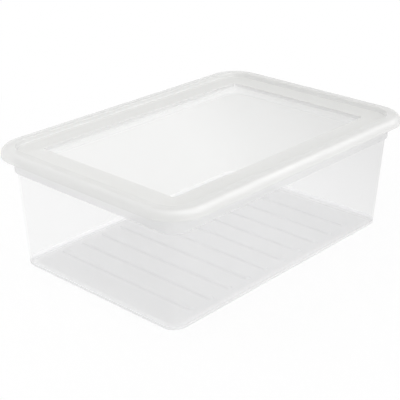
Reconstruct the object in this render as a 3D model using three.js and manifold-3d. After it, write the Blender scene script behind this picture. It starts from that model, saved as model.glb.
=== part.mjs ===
// A clear moulded storage box with a lift-off lid, in millimetres, standing on z = 0 with +Z up.
import * as THREE from "three";
import { mergeVertices } from "three/addons/utils/BufferGeometryUtils.js";
import Module from "manifold-3d";

const wasm = await Module();
wasm.setup();

// The rim round the mouth of the box
const rimLength = 386;
const rimWidth = 263;
const rimCornerRadius = 36.5;
const boxHeight = 127.5;
const flangeOverhang = 12.8;
const flangeThickness = 1.8;

// The walls: an upright collar under the flange, then a tapering wall down to the foot
const wallThickness = 1.8;
const collarDepth = 22.2;
const collarStep = 2.6;
const collarCornerRadius = 18;
const wallTaper = 4.3;
const footRadius = 3;
const baseCornerRadius = 17;

// The floor: a raised field crossed by ribs, so that the box stands on the margin round it
const floorThickness = 2.2;
const innerFootRadius = 7;
const fieldMarginEnds = 28.3;
const fieldMarginSides = 10.6;
const fieldRise = 0.8;
const fieldSlope = 4;
const fieldCornerRadius = 8;
const ribCount = 10;
const ribWidth = 8;
const ribRise = 1.4;
const ribSlope = 2;
const ribEndGap = 1;
const ribRoot = 0.5;

// The lid: a lip round the flange, a hollow ridge, a flat ledge and a sunk centre panel
const lidClearance = 0.6;
const lidSeatGap = 0.3;
const lidThickness = 1.7;
const lipThickness = 1.9;
const lipReach = 4;
const lipFace = 1;
const ridgeRise = 4.5;
const ridgeRound = 8.5;
const ridgeWidth = 16.5;
const ridgeSlope = 1.5;
const ledgeWidthEnds = 26.2;
const ledgeWidthSides = 24.4;
const panelDrop = 3.5;
const panelSlope = 0.8;
const panelCornerRadius = 3;

// How finely the round stretches are divided, and the least radius of an upright corner
const cornerSteps = 9;
const roundSteps = 5;
const sharpestCorner = 1;

// Colours and finish of the clear moulding
const boxColour = 0xeef0f0;
const lidColour = 0xe9ebe8;
const boxRoughness = 0.25;
const lidRoughness = 0.4;
const boxOpacity = 0.4;
const lidOpacity = 0.55;

// One level of a moulding: a rounded rectangle given by its half sizes, corner radius and height.
function ring(halfLength, halfWidth, radius, z) {
  const points = [];
  const corners = [
    [1, 1],
    [-1, 1],
    [-1, -1],
    [1, -1],
  ];
  corners.forEach(([sideX, sideY], corner) => {
    for (let step = 0; step <= cornerSteps; step++) {
      const angle = (corner + step / cornerSteps) * (Math.PI / 2);
      points.push(
        sideX * (halfLength - radius) + radius * Math.cos(angle),
        sideY * (halfWidth - radius) + radius * Math.sin(angle),
        z,
      );
    }
  });
  return points;
}

// A closed skin through rings in order, capped flat below the first ring and above the last.
function skin(rings) {
  const count = rings[0].length / 3;
  const positions = rings.flat();
  const faces = [];
  for (let level = 0; level + 1 < rings.length; level++) {
    for (let point = 0; point < count; point++) {
      const next = (point + 1) % count;
      const here = level * count;
      const above = here + count;
      faces.push(here + point, here + next, above + next);
      faces.push(here + point, above + next, above + point);
    }
  }
  const last = (rings.length - 1) * count;
  const middle = positions.length / 3;
  positions.push(0, 0, rings[0][2], 0, 0, rings[rings.length - 1][2]);
  for (let point = 0; point < count; point++) {
    const next = (point + 1) % count;
    faces.push(middle, next, point);
    faces.push(middle + 1, last + point, last + next);
  }
  const geometry = new THREE.BufferGeometry();
  geometry.setAttribute("position", new THREE.Float32BufferAttribute(positions, 3));
  geometry.setIndex(faces);
  return geometry;
}

// Points of a quarter ellipse in the (inset, z) plane, both ends included; angles are in quarter turns.
function quarter(centreInset, centreZ, radiusInset, radiusZ, from, to) {
  const points = [];
  for (let step = 0; step <= roundSteps; step++) {
    const angle = (from + ((to - from) * step) / roundSteps) * (Math.PI / 2);
    points.push([centreInset + radiusInset * Math.cos(angle), centreZ + radiusZ * Math.sin(angle)]);
  }
  return points;
}

// Hands a closed geometry to the boolean library.
function solidOf(geometry) {
  const merged = mergeVertices(geometry);
  return new wasm.Manifold(
    new wasm.Mesh({
      numProp: 3,
      vertProperties: merged.attributes.position.array,
      triVerts: new Uint32Array(merged.index.array),
    }),
  );
}

// Brings a solid back as a geometry.
function geometryOf(solid) {
  const mesh = solid.getMesh();
  const geometry = new THREE.BufferGeometry();
  geometry.setAttribute("position", new THREE.BufferAttribute(mesh.vertProperties, 3));
  geometry.setIndex(new THREE.BufferAttribute(mesh.triVerts, 1));
  geometry.computeVertexNormals();
  return geometry;
}

// Names a piece and gives it its own clear plastic.
function piece(name, geometry, color, roughness, opacity) {
  const material = new THREE.MeshStandardMaterial({
    color,
    roughness,
    metalness: 0,
    transparent: true,
    opacity,
  });
  const mesh = new THREE.Mesh(geometry, material);
  mesh.name = name;
  return mesh;
}

// The box, swept from its underside up the outside, over the rim and down the inside to the floor.
function boxGeometry() {
  const collarInset = flangeOverhang;
  const wallTopInset = collarInset + collarStep;
  const baseInset = wallTopInset + wallTaper;
  const collarFoot = boxHeight - collarDepth;
  const flangeUnder = boxHeight - flangeThickness;
  const taperPerHeight = wallTaper / collarFoot;
  const wallInset = (z) => baseInset - taperPerHeight * z;
  const wallRadius = (inset) =>
    baseCornerRadius +
    ((collarCornerRadius - collarStep - baseCornerRadius) * (baseInset - inset)) / wallTaper;
  const at = (inset, radius, z) => ring(rimLength / 2 - inset, rimWidth / 2 - inset, radius, z);

  const fieldLength = rimLength - 2 * (baseInset + fieldMarginEnds);
  const fieldWidth = rimWidth - 2 * (baseInset + fieldMarginSides);
  const field = (grow, z) =>
    ring(fieldLength / 2 + grow, fieldWidth / 2 + grow, fieldCornerRadius + grow, z);

  const rings = [];
  // Underside: hollow below the raised field, flat round it.
  rings.push(field(-fieldSlope, fieldRise));
  rings.push(field(0, 0));
  // Outer foot and wall.
  const footInset = wallInset(footRadius) + footRadius;
  for (const [inset, z] of quarter(footInset, footRadius, footRadius, footRadius, 3, 2)) {
    rings.push(at(inset, Math.max(baseCornerRadius - (inset - baseInset), sharpestCorner), z));
  }
  rings.push(at(wallTopInset, wallRadius(wallTopInset), collarFoot));
  // Rounded foot of the collar, the collar and the flange.
  const collarRound = quarter(wallTopInset, collarFoot + collarStep, collarStep, collarStep, 3, 2);
  for (const [inset, z] of collarRound.slice(1)) {
    rings.push(at(inset, collarCornerRadius - (inset - collarInset), z));
  }
  rings.push(at(collarInset, collarCornerRadius, flangeUnder));
  rings.push(at(0, rimCornerRadius, flangeUnder));
  rings.push(at(0, rimCornerRadius, boxHeight));
  // Inside of the collar and the wall.
  const collarInner = collarInset + wallThickness;
  const collarInnerFoot = collarFoot + collarStep + wallThickness;
  const wallInnerTop = collarFoot + wallThickness;
  const innerInset = (z) => wallInset(z) + wallThickness;
  const innerRadius = (inset) =>
    Math.max(wallRadius(inset - wallThickness) - wallThickness, sharpestCorner);
  rings.push(at(collarInner, collarCornerRadius - wallThickness, boxHeight));
  rings.push(at(collarInner, collarCornerRadius - wallThickness, collarInnerFoot));
  rings.push(at(innerInset(wallInnerTop), innerRadius(innerInset(wallInnerTop)), wallInnerTop));
  // Rounded inner foot and the raised field.
  const innerFoot = floorThickness + innerFootRadius;
  const innerFootInset = innerInset(innerFoot);
  const footCentre = innerFootInset + innerFootRadius;
  for (const [inset, z] of quarter(footCentre, innerFoot, innerFootRadius, innerFootRadius, 2, 3)) {
    const radius = innerRadius(innerFootInset) - (inset - innerFootInset);
    rings.push(at(inset, Math.max(radius, sharpestCorner), z));
  }
  const fieldTop = floorThickness + fieldRise;
  rings.push(field(0, floorThickness));
  rings.push(field(-fieldSlope, fieldTop));

  // Ribs across the raised field, one in the middle of each equal cell.
  const pitch = fieldLength / ribCount;
  const ribLength = fieldWidth - 2 * (fieldSlope + ribEndGap);
  const level = (grow, z) => ring(ribWidth / 2 + grow, ribLength / 2 + grow, ribWidth / 2 + grow, z);
  let box = solidOf(skin(rings));
  for (let rib = 0; rib < ribCount; rib++) {
    const ribSkin = skin([
      level(0, fieldTop - ribRoot),
      level(0, fieldTop),
      level(-ribSlope, fieldTop + ribRise),
    ]);
    ribSkin.translate((rib + 0.5) * pitch - fieldLength / 2, 0, 0);
    box = box.add(solidOf(ribSkin));
  }
  return geometryOf(box);
}

// The lid, swept from the underside of its panel out to the lip, over the ridge and back to the panel's top.
function lidGeometry() {
  const lidLength = rimLength + 2 * (lidClearance + lipThickness);
  const lidWidth = rimWidth + 2 * (lidClearance + lipThickness);
  const lidCornerRadius = rimCornerRadius + lidClearance + lipThickness;
  const ledge = boxHeight + lidSeatGap + lidThickness;
  const crest = ledge + ridgeRise;
  const lipFoot = ledge - lipReach;
  const lipTop = lipFoot + lipFace;
  const panel = ledge - panelDrop;

  // A ring at one distance in from the lid's edge, with the ledge's extra width at the ends and the sides.
  const at = (inset, z, extraEnds = 0, extraSides = 0) =>
    ring(
      lidLength / 2 - inset - extraEnds,
      lidWidth / 2 - inset - extraSides,
      Math.max(lidCornerRadius - inset - Math.max(extraEnds, extraSides), panelCornerRadius),
      z,
    );
  const atWindow = (inset, z) => at(ridgeWidth + inset, z, ledgeWidthEnds, ledgeWidthSides);

  // The two slopes keep the lid's thickness, measured square to them.
  const level = (run, drop) => (lidThickness * Math.hypot(run, drop)) / drop;
  const ridgeFlat = ridgeWidth - ridgeSlope;
  const ridgeUnder = (z) => ridgeFlat + ((crest - z) * ridgeSlope) / ridgeRise - level(ridgeSlope, ridgeRise);
  const panelUnder = (z) => ((ledge - z) * panelSlope) / panelDrop - level(panelSlope, panelDrop);

  const rings = [];
  // Underside, from the panel out to the lip.
  rings.push(atWindow(panelUnder(panel - lidThickness), panel - lidThickness));
  rings.push(atWindow(panelUnder(ledge - lidThickness), ledge - lidThickness));
  rings.push(at(ridgeUnder(ledge - lidThickness), ledge - lidThickness));
  rings.push(at(ridgeUnder(crest - lidThickness), crest - lidThickness));
  const hollowRound = ridgeRound - lipThickness;
  const hollowRise = crest - lidThickness - lipTop;
  for (const [inset, z] of quarter(ridgeRound, lipTop, hollowRound, hollowRise, 1, 2)) {
    rings.push(at(inset, z));
  }
  // The lip's foot, its outer face and the round over the ridge.
  rings.push(at(lipThickness, lipFoot));
  rings.push(at(0, lipFoot));
  for (const [inset, z] of quarter(ridgeRound, lipTop, ridgeRound, crest - lipTop, 2, 1)) {
    rings.push(at(inset, z));
  }
  // Crest, ledge and panel.
  rings.push(at(ridgeFlat, crest));
  rings.push(at(ridgeWidth, ledge));
  rings.push(atWindow(0, ledge));
  rings.push(atWindow(panelSlope, panel));
  return geometryOf(solidOf(skin(rings)));
}

const storageBox = new THREE.Group();
storageBox.add(piece("box_body", boxGeometry(), boxColour, boxRoughness, boxOpacity));
storageBox.add(piece("lid", lidGeometry(), lidColour, lidRoughness, lidOpacity));

export default storageBox;
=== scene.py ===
import math

import bmesh
import bpy
from mathutils import Matrix, Vector


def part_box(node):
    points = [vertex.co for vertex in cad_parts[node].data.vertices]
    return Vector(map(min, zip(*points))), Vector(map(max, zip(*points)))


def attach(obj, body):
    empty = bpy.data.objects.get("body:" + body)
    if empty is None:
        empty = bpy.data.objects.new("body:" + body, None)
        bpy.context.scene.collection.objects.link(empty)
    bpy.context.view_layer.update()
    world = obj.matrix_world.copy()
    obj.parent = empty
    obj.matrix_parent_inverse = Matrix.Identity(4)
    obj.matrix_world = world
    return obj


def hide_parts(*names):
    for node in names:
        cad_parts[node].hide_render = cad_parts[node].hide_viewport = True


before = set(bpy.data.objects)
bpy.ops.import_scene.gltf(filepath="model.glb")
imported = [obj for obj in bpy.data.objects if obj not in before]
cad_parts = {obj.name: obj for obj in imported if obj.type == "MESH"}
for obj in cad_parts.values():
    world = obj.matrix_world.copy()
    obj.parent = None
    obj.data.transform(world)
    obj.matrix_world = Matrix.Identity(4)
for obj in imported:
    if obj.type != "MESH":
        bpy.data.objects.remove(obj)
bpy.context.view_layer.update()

MM = 0.001

# Overall sizes, read from the frame
lid_low, lid_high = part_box("lid")
box_low, box_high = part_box("box_body")
LID_LENGTH = lid_high.x - lid_low.x
LID_WIDTH = lid_high.y - lid_low.y
RIM_LENGTH = box_high.x - box_low.x
RIM_WIDTH = box_high.y - box_low.y
BOX_HEIGHT = box_high.z
LID_FOOT = lid_low.z
LID_CREST = lid_high.z

# The tub's moulding, as in the CAD model
RIM_CORNER_RADIUS = 36.5 * MM
FLANGE_OVERHANG = 12.8 * MM
FLANGE_THICKNESS = 1.8 * MM
WALL_THICKNESS = 1.8 * MM
COLLAR_DEPTH = 22.2 * MM
COLLAR_STEP = 2.6 * MM
COLLAR_CORNER_RADIUS = 18 * MM
WALL_TAPER = 4.3 * MM
FOOT_RADIUS = 3 * MM
BASE_CORNER_RADIUS = 17 * MM
FLOOR_THICKNESS = 2.2 * MM
INNER_FOOT_RADIUS = 7 * MM
FIELD_MARGIN_ENDS = 28.3 * MM
FIELD_MARGIN_SIDES = 10.6 * MM
FIELD_RISE = 0.8 * MM
FIELD_SLOPE = 4 * MM
FIELD_CORNER_RADIUS = 8 * MM
RIB_COUNT = 10
RIB_WIDTH = 8 * MM
RIB_RISE = 1.4 * MM
RIB_SLOPE = 2 * MM
RIB_END_GAP = 1 * MM
SHARPEST_CORNER = 1 * MM

# The lid's moulding, as in the CAD model
LID_THICKNESS = 1.7 * MM
LIP_THICKNESS = 1.9 * MM
RIDGE_RISE = 4.5 * MM
RIDGE_WIDTH = 16.5 * MM
RIDGE_SLOPE = 1.5 * MM
LEDGE_WIDTH_ENDS = 26.2 * MM
LEDGE_WIDTH_SIDES = 24.4 * MM
PANEL_DROP = 3.5 * MM
PANEL_SLOPE = 0.8 * MM
PANEL_CORNER_RADIUS = 3 * MM

# The lid's outer round, 1 mm tighter than in the CAD model and above a lip face 1 mm higher
LIP_FACE = 2 * MM
RIDGE_ROUND = 7.5 * MM

# Small rounds on edges, the share of a stretch that one may take, and how finely curves are divided
EDGE_ROUND = 0.5 * MM
FOLD_ROUND = 1.2 * MM
ROUND_SHARE = 0.49
CORNER_STEPS = 16
ROUND_STEPS = 4
ARC_STEPS = 12
JOIN_DISTANCE = 0.001 * MM
SHARP_ANGLE = math.radians(38)

# Insets, levels and spans of the tub that follow from its sizes
WALL_TOP_INSET = FLANGE_OVERHANG + COLLAR_STEP
BASE_INSET = WALL_TOP_INSET + WALL_TAPER
COLLAR_FOOT = BOX_HEIGHT - COLLAR_DEPTH
FLANGE_FOOT = BOX_HEIGHT - FLANGE_THICKNESS
FIELD_TOP = FLOOR_THICKNESS + FIELD_RISE
FIELD_LENGTH = RIM_LENGTH - 2 * (BASE_INSET + FIELD_MARGIN_ENDS)
FIELD_WIDTH = RIM_WIDTH - 2 * (BASE_INSET + FIELD_MARGIN_SIDES)

# Insets and levels of the lid that follow from its sizes
LID_CORNER_RADIUS = RIM_CORNER_RADIUS + (LID_LENGTH - RIM_LENGTH) / 2
LEDGE_TOP = LID_CREST - RIDGE_RISE
PANEL_TOP = LEDGE_TOP - PANEL_DROP
RIDGE_FLAT = RIDGE_WIDTH - RIDGE_SLOPE
PANEL_INSET = RIDGE_WIDTH + LEDGE_WIDTH_SIDES
PANEL_BAND = 4 * FOLD_ROUND

# Each moulding is one skin in zones of different finish, some darker as painted shade, numbered in the
# order of its materials
BOX_WALL, BOX_COLLAR, BOX_FOOT, BOX_FLOOR, BOX_RIB = range(5)
LID_RIDGE, LID_SLOPE, LID_LEDGE, LID_STEP, LID_PANEL = range(5)

# Heights between which the tub is frosted, and the share of a rib's rise whose darker ribs' finish is
# painted shade on the flanks
FOOT_FROST_TOP = 1.5 * FOOT_RADIUS
COLLAR_FROST_FOOT = COLLAR_FOOT + 0.3 * COLLAR_STEP
COLLAR_FROST_TOP = FLANGE_FOOT - FOLD_ROUND
RIB_FLANK_SHARE = 0.8

# The plastic: least and most roughness of each surface, refraction, and how many layers a ray may pass
POLISHED = (0.15, 0.25)
SATIN = (0.29, 0.37)
MILKY = (0.29, 0.43)
MATT = (0.40, 0.50)
PLASTIC_IOR = 1.49
CLEAR_LAYERS = 32

# Directions in a profile, in quarter turns; insets grow inwards
UP, OUTWARD, DOWN = 1, 2, 3

# The photograph's camera
CAMERA_AZIMUTH = math.radians(-47.957)
CAMERA_ELEVATION = math.radians(23.78)
CAMERA_ROLL = math.radians(0.2)
CAMERA_TARGET = Vector((0, 0, 53.6 * MM))
CAMERA_DISTANCE = 1144.3 * MM
CAMERA_SLIDE_RIGHT = -9.75 * MM
CAMERA_SLIDE_UP = -3.49 * MM
CAMERA_LENS = 93.4
SENSOR_WIDTH = 36


# Profiles and skins
def ring(half_length, half_width, radius, z):
    """One level of a moulding: a rounded rectangle, anticlockwise from +X."""
    points = []
    for corner, (side_x, side_y) in enumerate(((1, 1), (-1, 1), (-1, -1), (1, -1))):
        for step in range(CORNER_STEPS + 1):
            angle = (corner + step / CORNER_STEPS) * math.pi / 2
            x = side_x * (half_length - radius) + radius * math.cos(angle)
            y = side_y * (half_width - radius) + radius * math.sin(angle)
            point = Vector((x, y, z))
            if not points or (point - points[-1]).length > JOIN_DISTANCE:
                points.append(point)
    if (points[0] - points[-1]).length < JOIN_DISTANCE:
        points.pop()
    return points


def quarter(centre_inset, centre_z, radius_inset, radius_z, start, end):
    """A quarter of an ellipse as points of a profile, from one direction to the next."""
    points = []
    for step in range(ARC_STEPS + 1):
        angle = (start + (end - start) * step / ARC_STEPS) * math.pi / 2
        inset = centre_inset + radius_inset * math.cos(angle)
        z = centre_z + radius_z * math.sin(angle)
        points.append((inset, z, 0))
    return points


def soften(profile):
    """Rounds each corner of a profile of (inset, z, radius) points with an arc."""
    points = []
    for index, (inset, z, radius) in enumerate(profile):
        corner = Vector((inset, z))
        if radius == 0 or index in (0, len(profile) - 1):
            points.append(corner)
            continue
        before = Vector(profile[index - 1][:2]) - corner
        after = Vector(profile[index + 1][:2]) - corner
        half_angle = before.angle(after) / 2
        room = ROUND_SHARE * min(before.length, after.length)
        reach = min(radius / math.tan(half_angle), room)
        arc_radius = reach * math.tan(half_angle)
        bisector = (before.normalized() + after.normalized()).normalized()
        centre = corner + bisector * arc_radius / math.sin(half_angle)
        start = corner + before.normalized() * reach - centre
        end = corner + after.normalized() * reach - centre
        for step in range(ROUND_STEPS + 1):
            points.append(centre + start.slerp(end, step / ROUND_STEPS).normalized() * arc_radius)
    return points


def band_zones(profile, zone_at):
    """The zone of each band between two neighbouring points of a profile."""
    return [zone_at(*((start + end) / 2)) for start, end in zip(profile, profile[1:])]


def loft(mesh, rings, zones):
    """Joins rings into a skin, one zone to a band, and returns its rows of vertices."""
    rows = [[mesh.verts.new(point) for point in level] for level in rings]
    for lower, upper, zone in zip(rows, rows[1:], zones):
        for index in range(len(lower)):
            following = (index + 1) % len(lower)
            face = mesh.faces.new((lower[index], lower[following], upper[following], upper[index]))
            face.material_index = zone
            face.smooth = True
    return rows


def loop_edges(mesh, row):
    """The edges round one row of vertices."""
    return [mesh.edges.get((row[index - 1], row[index])) for index in range(len(row))]


def cap(mesh, row, zone):
    """Closes a row with one flat face, facing the way the row turns."""
    face = mesh.faces.new(row)
    face.material_index = zone


def piece_from(mesh, name, node, body, materials):
    """Makes an object that stands for a CAD node and rides on its body."""
    data = bpy.data.meshes.new(name)
    bmesh.ops.recalc_face_normals(mesh, faces=mesh.faces)
    mesh.to_mesh(data)
    mesh.free()
    data.set_sharp_from_angle(angle=SHARP_ANGLE)
    for material in materials:
        data.materials.append(material)
    piece = bpy.data.objects.new(name, data)
    bpy.context.scene.collection.objects.link(piece)
    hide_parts(node)
    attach(piece, body)


# The tub
def wall_inset(z):
    """Inset of the tub's tapering outer wall at a height."""
    return BASE_INSET - WALL_TAPER / COLLAR_FOOT * z


def rim_radius(inset):
    """Corner radius of the flange, the collar and the step under it."""
    if inset <= FLANGE_OVERHANG:
        share = inset / FLANGE_OVERHANG
        return RIM_CORNER_RADIUS + (COLLAR_CORNER_RADIUS - RIM_CORNER_RADIUS) * share
    return max(COLLAR_CORNER_RADIUS - (inset - FLANGE_OVERHANG), SHARPEST_CORNER)


def outer_radius(inset):
    """Corner radius of the tub's outside, from the rim to the underside."""
    if inset <= WALL_TOP_INSET:
        return rim_radius(inset)
    wall_top_radius = rim_radius(WALL_TOP_INSET)
    share = min((inset - WALL_TOP_INSET) / WALL_TAPER, 1)
    wall_radius = wall_top_radius + (BASE_CORNER_RADIUS - wall_top_radius) * share
    return max(wall_radius - max(inset - BASE_INSET, 0), SHARPEST_CORNER)


def inner_radius(inset):
    """Corner radius of the tub's inside, which follows the outside at the wall's thickness."""
    return max(outer_radius(inset - WALL_THICKNESS) - WALL_THICKNESS, SHARPEST_CORNER)


def box_levels(profile, radius_at):
    """The rings of the tub at the points of a profile."""
    levels = []
    for inset, z in profile:
        levels.append(ring(RIM_LENGTH / 2 - inset, RIM_WIDTH / 2 - inset, radius_at(inset), z))
    return levels


def field_level(grow, z):
    """The outline of the floor's raised field, grown on all sides."""
    return ring(FIELD_LENGTH / 2 + grow, FIELD_WIDTH / 2 + grow, FIELD_CORNER_RADIUS + grow, z)


def outer_zone(inset, z):
    """Zone of the tub's outside at a point of its profile."""
    if z < FOOT_FROST_TOP:
        return BOX_FOOT
    return BOX_COLLAR if COLLAR_FROST_FOOT < z < COLLAR_FROST_TOP else BOX_WALL


def rib_zone(inset, z):
    """Zone of a rib: its flanks take a darker, denser finish, painted shade that makes them stand out from
    the floor.
    """
    on_flank = abs(z - FIELD_TOP - RIB_RISE / 2) < RIB_FLANK_SHARE * RIB_RISE / 2
    return BOX_RIB if on_flank else BOX_FLOOR


def outer_profile():
    """The tub's outside, from the underside up to the middle of the flange."""
    foot_inset = wall_inset(FOOT_RADIUS) + FOOT_RADIUS
    return soften([
        *quarter(foot_inset, FOOT_RADIUS, FOOT_RADIUS, FOOT_RADIUS, DOWN, OUTWARD),
        (wall_inset(FOOT_FROST_TOP), FOOT_FROST_TOP, 0),
        *quarter(WALL_TOP_INSET, COLLAR_FOOT + COLLAR_STEP, COLLAR_STEP, COLLAR_STEP, DOWN, OUTWARD),
        (FLANGE_OVERHANG, FLANGE_FOOT, FOLD_ROUND),
        (0, FLANGE_FOOT, EDGE_ROUND),
        (0, BOX_HEIGHT, EDGE_ROUND),
        (FLANGE_OVERHANG / 2, BOX_HEIGHT, 0),
    ])


def inner_profile():
    """The tub's inside, from the middle of the flange down to the floor."""
    rim_inset = FLANGE_OVERHANG + WALL_THICKNESS
    collar_base = COLLAR_FOOT + COLLAR_STEP + WALL_THICKNESS
    wall_top = COLLAR_FOOT + WALL_THICKNESS
    foot_top = FLOOR_THICKNESS + INNER_FOOT_RADIUS
    foot_inset = wall_inset(foot_top) + WALL_THICKNESS + INNER_FOOT_RADIUS
    return soften([
        (FLANGE_OVERHANG / 2, BOX_HEIGHT, 0),
        (rim_inset, BOX_HEIGHT, EDGE_ROUND),
        (rim_inset, collar_base, FOLD_ROUND),
        (wall_inset(wall_top) + WALL_THICKNESS, wall_top, FOLD_ROUND),
        *quarter(foot_inset, foot_top, INNER_FOOT_RADIUS, INNER_FOOT_RADIUS, OUTWARD, DOWN),
    ])


def add_rib(mesh, middle):
    """Adds one rib to the floor and returns the edges round its foot."""
    rib_length = FIELD_WIDTH - 2 * (FIELD_SLOPE + RIB_END_GAP)
    crest = FIELD_TOP + RIB_RISE
    profile = soften([
        (-FOLD_ROUND, FIELD_TOP, 0),
        (0, FIELD_TOP, FOLD_ROUND),
        (RIB_SLOPE, crest, FOLD_ROUND),
        (RIB_WIDTH / 2 - EDGE_ROUND, crest, 0),
    ])
    levels = []
    for inset, z in profile:
        half_width = RIB_WIDTH / 2 - inset
        outline = ring(half_width, rib_length / 2 - inset, half_width, z)
        levels.append([point + middle for point in outline])
    rows = loft(mesh, levels, band_zones(profile, rib_zone))
    cap(mesh, rows[-1], BOX_FLOOR)
    return loop_edges(mesh, rows[0])


def add_field(mesh, border):
    """Adds the ribs and fills the field's face between them and its border."""
    edges = loop_edges(mesh, border)
    pitch = FIELD_LENGTH / RIB_COUNT
    for rib in range(RIB_COUNT):
        middle = Vector(((rib + 0.5) * pitch - FIELD_LENGTH / 2, 0, 0))
        edges += add_rib(mesh, middle)
    filled = bmesh.ops.triangle_fill(mesh, edges=edges, use_beauty=True, normal=(0, 0, 1))
    for face in filled["geom"]:
        if isinstance(face, bmesh.types.BMFace):
            face.material_index = BOX_FLOOR


def build_box(materials):
    """The tub: underside, outer wall, collar, flange, inner wall and ribbed floor in one skin."""
    outer = outer_profile()
    # The inside starts at the point where the outside ends.
    inner = inner_profile()[1:]
    rings = [
        field_level(-FIELD_SLOPE, FIELD_RISE),
        field_level(0, 0),
        *box_levels(outer, outer_radius),
        *box_levels(inner, inner_radius),
        field_level(0, FLOOR_THICKNESS),
        field_level(-FIELD_SLOPE, FIELD_TOP),
    ]
    floor_zones = [BOX_FLOOR, BOX_FLOOR]
    zones = floor_zones + band_zones(outer, outer_zone) + [BOX_WALL] * len(inner) + floor_zones
    mesh = bmesh.new()
    rows = loft(mesh, rings, zones)
    cap(mesh, rows[0][::-1], BOX_FLOOR)
    add_field(mesh, rows[-1])
    piece_from(mesh, "clear_box", "box_body", "box", materials)


# The lid
def under_slope(z, top, top_inset, run, drop):
    """Inset of the lid's underside at a height, below a slope that runs inwards and down from its top."""
    level_thickness = LID_THICKNESS * math.hypot(run, drop) / drop
    return top_inset + (top - z) * run / drop - level_thickness


def lid_level(point):
    """One ring of the lid; on the way in, the ledge gains its extra width at the ends."""
    inset, z = point
    share = min(max((inset - RIDGE_WIDTH) / LEDGE_WIDTH_SIDES, 0), 1)
    half_length = LID_LENGTH / 2 - inset - (LEDGE_WIDTH_ENDS - LEDGE_WIDTH_SIDES) * share
    radius = max(LID_CORNER_RADIUS - inset, PANEL_CORNER_RADIUS)
    return ring(half_length, LID_WIDTH / 2 - inset, radius, z)


def lid_zone(inset, z):
    """Zone of the lid at a point of its profile; underneath, the panel takes in the step to it."""
    if z > LEDGE_TOP and inset > RIDGE_FLAT:
        return LID_SLOPE
    if z > PANEL_TOP and inset > PANEL_INSET:
        return LID_STEP
    on_top = z > LEDGE_TOP - LID_THICKNESS / 2
    panel_edge = PANEL_INSET if on_top else PANEL_INSET - 2 * LID_THICKNESS
    if inset > panel_edge:
        return LID_PANEL
    return LID_LEDGE if inset > RIDGE_FLAT else LID_RIDGE


def lid_profile():
    """The lid from the middle of its underside, round the lip, to the middle of its top."""
    crest_under = LID_CREST - LID_THICKNESS
    ledge_under = LEDGE_TOP - LID_THICKNESS
    panel_under = PANEL_TOP - LID_THICKNESS
    lip_top = LID_FOOT + LIP_FACE
    slope = (LID_CREST, RIDGE_FLAT, RIDGE_SLOPE, RIDGE_RISE)
    step = (LEDGE_TOP, PANEL_INSET, PANEL_SLOPE, PANEL_DROP)
    return soften([
        (PANEL_INSET + PANEL_BAND, panel_under, 0),
        (under_slope(panel_under, *step), panel_under, FOLD_ROUND),
        (under_slope(ledge_under, *step), ledge_under, FOLD_ROUND),
        (under_slope(ledge_under, *slope), ledge_under, FOLD_ROUND),
        (under_slope(crest_under, *slope), crest_under, FOLD_ROUND),
        *quarter(RIDGE_ROUND, lip_top, RIDGE_ROUND - LIP_THICKNESS, crest_under - lip_top, UP, OUTWARD),
        (LIP_THICKNESS, LID_FOOT, EDGE_ROUND),
        (0, LID_FOOT, EDGE_ROUND),
        *quarter(RIDGE_ROUND, lip_top, RIDGE_ROUND, LID_CREST - lip_top, OUTWARD, UP),
        (RIDGE_FLAT, LID_CREST, FOLD_ROUND),
        (RIDGE_WIDTH, LEDGE_TOP, FOLD_ROUND),
        (PANEL_INSET, LEDGE_TOP, EDGE_ROUND),
        (PANEL_INSET + PANEL_SLOPE, PANEL_TOP, EDGE_ROUND),
        (PANEL_INSET + PANEL_BAND, PANEL_TOP, 0),
    ])


def build_lid(materials):
    """The lid: underside, lip, ridge, ledge and sunk panel in one skin."""
    profile = lid_profile()
    mesh = bmesh.new()
    rows = loft(mesh, [lid_level(point) for point in profile], band_zones(profile, lid_zone))
    cap(mesh, rows[0][::-1], LID_PANEL)
    cap(mesh, rows[-1], LID_PANEL)
    piece_from(mesh, "clear_lid", "lid", "cover", materials)


# Nodes that the materials share
def combine(tree, operation, first, second):
    """The result of a Math node on a socket and another socket or a number."""
    node = tree.nodes.new("ShaderNodeMath")
    node.operation = operation
    tree.links.new(first, node.inputs[0])
    if isinstance(second, bpy.types.NodeSocket):
        tree.links.new(second, node.inputs[1])
    else:
        node.inputs[1].default_value = second
    return node.outputs["Value"]


def remap(tree, value, source, target):
    """A value taken from one range to another, and kept within it."""
    node = tree.nodes.new("ShaderNodeMapRange")
    for name, limit in zip(("From Min", "From Max", "To Min", "To Max"), (*source, *target)):
        node.inputs[name].default_value = limit
    tree.links.new(value, node.inputs["Value"])
    return node.outputs["Result"]


def noise(tree, place, size, detail):
    """Noise over an object's own coordinates, with features of about a given size."""
    node = tree.nodes.new("ShaderNodeTexNoise")
    node.inputs["Scale"].default_value = 1 / size
    node.inputs["Detail"].default_value = detail
    tree.links.new(place, node.inputs["Vector"])
    return node.outputs["Fac"]


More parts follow.
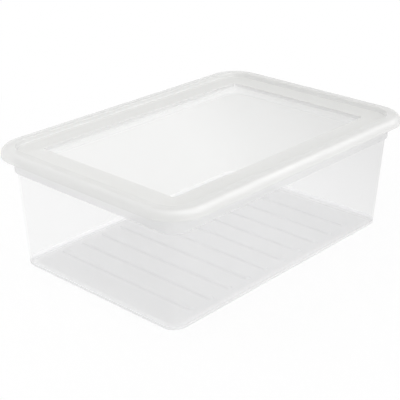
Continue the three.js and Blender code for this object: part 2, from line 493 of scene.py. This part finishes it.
# The finishes
def clear_plastic(name, colour, alpha, roughness, grain_size, grain_height, haze=0):
    """A see-through moulded skin with a fine grain; haze is the share that scatters light through it."""
    flow_size = 60 * MM
    flow_detail = 2
    grain_detail = 3
    material = bpy.data.materials.new(name)
    material.use_nodes = True
    tree = material.node_tree
    shader = tree.nodes["Principled BSDF"]
    shader.inputs["Base Color"].default_value = (*colour, 1)
    shader.inputs["Alpha"].default_value = alpha
    shader.inputs["IOR"].default_value = PLASTIC_IOR

    place = tree.nodes.new("ShaderNodeTexCoord").outputs["Object"]
    flow = noise(tree, place, flow_size, flow_detail)
    tree.links.new(remap(tree, flow, (0, 1), roughness), shader.inputs["Roughness"])

    relief = tree.nodes.new("ShaderNodeBump")
    relief.inputs["Strength"].default_value = 1
    relief.inputs["Distance"].default_value = grain_height
    tree.links.new(noise(tree, place, grain_size, grain_detail), relief.inputs["Height"])
    tree.links.new(relief.outputs["Normal"], shader.inputs["Normal"])

    if haze:
        scatter = tree.nodes.new("ShaderNodeBsdfTranslucent")
        scatter.inputs["Color"].default_value = (*colour, 1)
        blend = tree.nodes.new("ShaderNodeMixShader")
        blend.inputs[0].default_value = haze
        tree.links.new(shader.outputs["BSDF"], blend.inputs[1])
        tree.links.new(scatter.outputs["BSDF"], blend.inputs[2])
        tree.links.new(blend.outputs["Shader"], tree.nodes["Material Output"].inputs["Surface"])
    return material


def box_finishes():
    """The tub's finishes, in the order of its zones."""
    wall = clear_plastic(
        "box_wall_clear",
        colour=(0.88, 0.88, 0.885),
        alpha=0.085,
        roughness=POLISHED,
        grain_size=3 * MM,
        grain_height=0.01 * MM,
    )
    collar = clear_plastic(
        "box_collar_frosted",
        colour=(0.85, 0.85, 0.855),
        alpha=0.28,
        roughness=SATIN,
        grain_size=3 * MM,
        grain_height=0.01 * MM,
        haze=0.5,
    )
    foot = clear_plastic(
        "box_foot_frosted",
        colour=(0.80, 0.80, 0.805),
        alpha=0.32,
        roughness=SATIN,
        grain_size=3 * MM,
        grain_height=0.005 * MM,
        haze=0.8,
    )
    floor = clear_plastic(
        "box_floor_milky",
        colour=(0.70, 0.70, 0.71),
        alpha=0.32,
        roughness=MILKY,
        grain_size=2 * MM,
        grain_height=0.005 * MM,
    )
    # The ribs' flanks: the floor's milky plastic made darker and denser, painted shade on the flanks.
    rib = clear_plastic(
        "box_rib_milky_painted_shade",
        colour=(0.63, 0.63, 0.64),
        alpha=0.37,
        roughness=MILKY,
        grain_size=2 * MM,
        grain_height=0.005 * MM,
    )
    return [wall, collar, foot, floor, rib]


def lid_finishes():
    """The lid's finishes, in the order of its zones."""
    ridge = clear_plastic(
        "lid_ridge_frosted",
        colour=(0.84, 0.84, 0.83),
        alpha=0.56,
        roughness=MATT,
        grain_size=2 * MM,
        grain_height=0.006 * MM,
    )
    # The ridge's inner slope: frosted and a little darker, painted shade on the slope.
    slope = clear_plastic(
        "lid_slope_frosted_painted_shade",
        colour=(0.80, 0.80, 0.79),
        alpha=0.53,
        roughness=SATIN,
        grain_size=2 * MM,
        grain_height=0.006 * MM,
    )
    ledge = clear_plastic(
        "lid_ledge_frosted",
        colour=(0.82, 0.82, 0.805),
        alpha=0.65,
        roughness=SATIN,
        grain_size=2 * MM,
        grain_height=0.006 * MM,
    )
    # The step down to the sunk panel: frosted and much darker, painted shade in the panel's edge.
    step = clear_plastic(
        "lid_step_frosted_painted_shade",
        colour=(0.64, 0.64, 0.63),
        alpha=0.45,
        roughness=SATIN,
        grain_size=2 * MM,
        grain_height=0.006 * MM,
    )
    panel = clear_plastic(
        "lid_panel_clear",
        colour=(0.79, 0.795, 0.77),
        alpha=0.15,
        roughness=POLISHED,
        grain_size=2 * MM,
        grain_height=0.008 * MM,
    )
    return [ridge, slope, ledge, step, panel]


# The studio
def seen_directly(tree):
    """A factor that is 1 for camera, glossy and transmission rays, which all see the white backdrop."""
    path = tree.nodes.new("ShaderNodeLightPath")
    first = combine(tree, "MAXIMUM", path.outputs["Is Camera Ray"], path.outputs["Is Glossy Ray"])
    return combine(tree, "MAXIMUM", first, path.outputs["Is Transmission Ray"])


def floor_material():
    """White, with a little of the object's shadow, and painted shade that greys it towards the far right
    where it is seen through the clear box.
    """
    paint_white = 0.95
    shadow_share = 0.12
    shadow_range = (0.3, 0.6)
    painted_shade_strength = 0.77
    painted_shade_direction = (1, -0.6, 0)
    painted_shade_range = (0.09, 0.36)
    half_a_layer = 0.5
    material = bpy.data.materials.new("studio_floor")
    material.use_nodes = True
    tree = material.node_tree
    nodes = tree.nodes
    links = tree.links
    nodes.clear()
    place = nodes.new("ShaderNodeTexCoord").outputs["Object"]
    paint = nodes.new("ShaderNodeBsdfDiffuse")
    paint.inputs["Color"].default_value = (paint_white, paint_white, paint_white, 1)

    # Seen through one clear layer or more, the floor's glow fades along one direction: painted shade
    # standing in for the box's shadow and the light's falloff towards the far right.
    across = nodes.new("ShaderNodeVectorMath")
    across.operation = "DOT_PRODUCT"
    across.inputs[1].default_value = painted_shade_direction
    links.new(place, across.inputs[0])
    painted_shade = remap(tree, across.outputs["Value"], painted_shade_range, (1, painted_shade_strength))
    layers = nodes.new("ShaderNodeLightPath").outputs["Transparent Depth"]
    unveiled = combine(tree, "LESS_THAN", layers, half_a_layer)
    glow = nodes.new("ShaderNodeEmission")
    links.new(combine(tree, "MAXIMUM", unveiled, painted_shade), glow.inputs["Strength"])

    # The shadow shows near the box only.
    distance = nodes.new("ShaderNodeVectorMath")
    distance.operation = "LENGTH"
    links.new(place, distance.inputs[0])
    glow_share = remap(tree, distance.outputs["Value"], shadow_range, (1 - shadow_share, 1))
    mix = nodes.new("ShaderNodeMixShader")
    links.new(combine(tree, "MULTIPLY", seen_directly(tree), glow_share), mix.inputs[0])
    links.new(paint.outputs["BSDF"], mix.inputs[1])
    links.new(glow.outputs["Emission"], mix.inputs[2])
    output = nodes.new("ShaderNodeOutputMaterial")
    links.new(mix.outputs["Shader"], output.inputs["Surface"])
    return material


def build_floor():
    """A wide plain floor, a hair under the box."""
    floor_half = 6
    floor_drop = 0.2 * MM
    mesh = bmesh.new()
    bmesh.ops.create_grid(mesh, x_segments=1, y_segments=1, size=floor_half)
    data = bpy.data.meshes.new("studio_floor")
    mesh.to_mesh(data)
    mesh.free()
    data.materials.append(floor_material())
    floor = bpy.data.objects.new("studio_floor", data)
    floor.location.z = -floor_drop
    bpy.context.scene.collection.objects.link(floor)


def build_world():
    """White to the camera, and a softer grey-white as light on the object."""
    ambient = 0.78
    world = bpy.data.worlds.new("studio")
    world.use_nodes = True
    bpy.context.scene.world = world
    tree = world.node_tree
    background = tree.nodes["Background"]
    background.inputs["Color"].default_value = (1, 1, 1, 1)
    strength = remap(tree, seen_directly(tree), (0, 1), (ambient, 1))
    tree.links.new(strength, background.inputs["Strength"])


def softbox(name, location, size, power, along=None):
    """A rectangular area light that faces the box, turned about its length, which is level unless given."""
    data = bpy.data.lights.new(name, "AREA")
    data.shape = "RECTANGLE"
    data.size, data.size_y = size
    data.energy = power
    light = bpy.data.objects.new(name, data)
    away = Vector(location) - CAMERA_TARGET
    if along is None:
        along = Vector((away.y, -away.x, 0)).normalized()
    facing = (away - along * away.dot(along)).normalized()
    turn = Matrix((along, facing.cross(along), facing)).transposed().to_4x4()
    light.matrix_world = Matrix.Translation(location) @ turn
    bpy.context.scene.collection.objects.link(light)
    return light


def build_lights():
    """A large soft light for the gloss alone, and four weak ones that shade the sides without gloss."""
    length_axis = Vector((1, 0, 0))
    strip_size = (1.8, 1.3)
    back_size = (1.2, 0.6)
    fill_size = (0.6, 0.6)
    strip = softbox("strip_light", location=(0.6, -0.5, 0.95), size=strip_size, power=37, along=length_axis)
    strip.visible_diffuse = False
    top = softbox("top_light", location=(-0.5, 0.4, 0.9), size=fill_size, power=1.6)
    left = softbox("left_light", location=(-1.3, 0, 0.6), size=fill_size, power=1)
    front = softbox("front_light", location=(0.1, -1.4, 0.5), size=fill_size, power=4.8, along=length_axis)
    back = softbox("back_light", location=(1, 1.5, 0.3), size=back_size, power=12)
    back.visible_camera = False
    for fill in (top, left, front, back):
        fill.visible_glossy = False


def build_camera():
    """The photograph's viewpoint: azimuth and elevation round the box, with a slight roll."""
    data = bpy.data.cameras.new("photo_camera")
    data.lens = CAMERA_LENS
    data.sensor_width = SENSOR_WIDTH
    camera = bpy.data.objects.new("photo_camera", data)
    bpy.context.scene.collection.objects.link(camera)
    bpy.context.scene.camera = camera
    across = math.cos(CAMERA_ELEVATION)
    back = Vector((
        math.sin(CAMERA_AZIMUTH) * across,
        -math.cos(CAMERA_AZIMUTH) * across,
        math.sin(CAMERA_ELEVATION),
    ))
    level_right = Vector((math.cos(CAMERA_AZIMUTH), math.sin(CAMERA_AZIMUTH), 0))
    level_up = back.cross(level_right)
    right = level_right * math.cos(CAMERA_ROLL) + level_up * math.sin(CAMERA_ROLL)
    up = level_up * math.cos(CAMERA_ROLL) - level_right * math.sin(CAMERA_ROLL)
    eye = CAMERA_TARGET + back * CAMERA_DISTANCE + right * CAMERA_SLIDE_RIGHT + up * CAMERA_SLIDE_UP
    turn = Matrix((right, up, back)).transposed().to_4x4()
    camera.matrix_world = Matrix.Translation(eye) @ turn


build_camera()
build_world()
build_floor()
build_lights()
build_box(box_finishes())
build_lid(lid_finishes())

bpy.context.scene.view_settings.view_transform = "Standard"
bpy.context.scene.cycles.transparent_max_bounces = CLEAR_LAYERS
